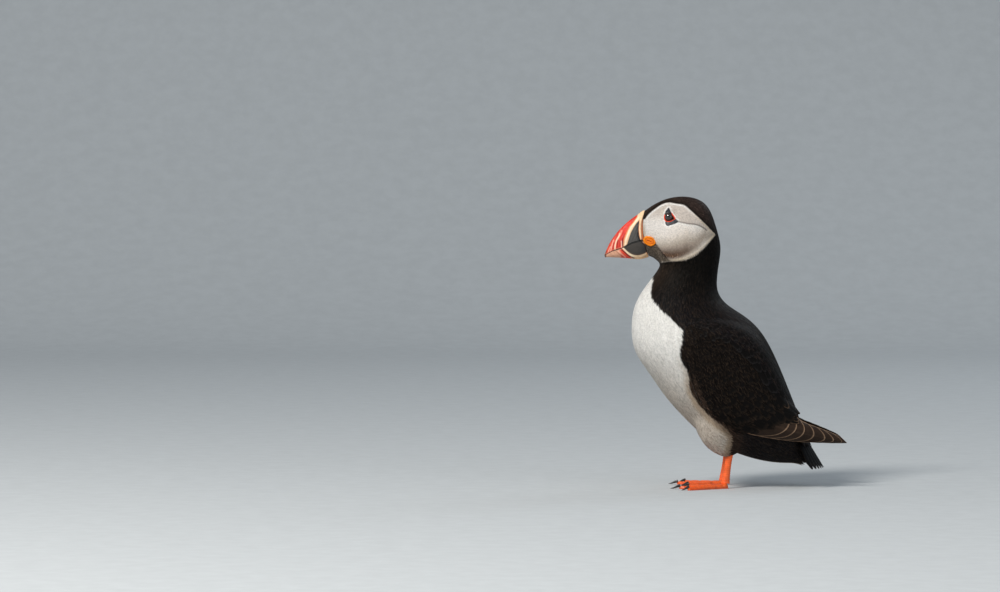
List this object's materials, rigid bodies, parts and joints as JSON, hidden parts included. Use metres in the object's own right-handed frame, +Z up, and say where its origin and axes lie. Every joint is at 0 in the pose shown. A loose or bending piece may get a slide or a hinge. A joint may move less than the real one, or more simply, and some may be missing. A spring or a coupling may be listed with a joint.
{
  "type": "atlantic puffin",
  "caption": "Life-size still model of a standing Atlantic puffin with closed wings, a deep banded bill, pale face discs and webbed feet.",
  "frame": {"origin": "on the ground, under the middle of the bird's box", "axes": "+Z up, -X the way the bird faces, -Y its left side; XZ is its plane of symmetry"},
  "size_m": [0.1798, 0.0938, 0.2148],
  "materials": {
    "face_plumage": "short soft feathers, pale grey",
    "black_plumage": "close feathers, brownish black with a faint gloss",
    "white_plumage": "dense soft feathers, white",
    "bill_horn": "smooth horn, red-orange with slate and cream bands",
    "bill_cream": "rough cream horn",
    "rosette_skin": "wrinkled orange skin",
    "eye_plates": "blue-grey horn",
    "eye": "wet dark brown",
    "foot_skin": "scaled orange skin",
    "claw_horn": "black horn"
  },
  "bodies": {
    "root": {"bill_lower": "bill_horn", "bill_ridge": "bill_cream", "bill_upper": "bill_horn", "claw_left_inner": "claw_horn", "claw_left_middle": "claw_horn", "claw_left_outer": "claw_horn", "claw_right_inner": "claw_horn", "claw_right_middle": "claw_horn", "claw_right_outer": "claw_horn", "eye_left": "eye", "eye_plate_lower_left": "eye_plates", "eye_plate_lower_right": "eye_plates", "eye_plate_upper_left": "eye_plates", "eye_plate_upper_right": "eye_plates", "eye_right": "eye", "foot_left": "foot_skin", "foot_right": "foot_skin", "head": "face_plumage", "neck": "black_plumage", "rosette_left": "rosette_skin", "rosette_right": "rosette_skin", "tail": "black_plumage", "tarsus_left": "foot_skin", "tarsus_right": "foot_skin", "thigh_left": "white_plumage", "thigh_right": "white_plumage", "trunk": "white_plumage", "wing_left": "black_plumage", "wing_right": "black_plumage"}
  },
  "joints": []
}
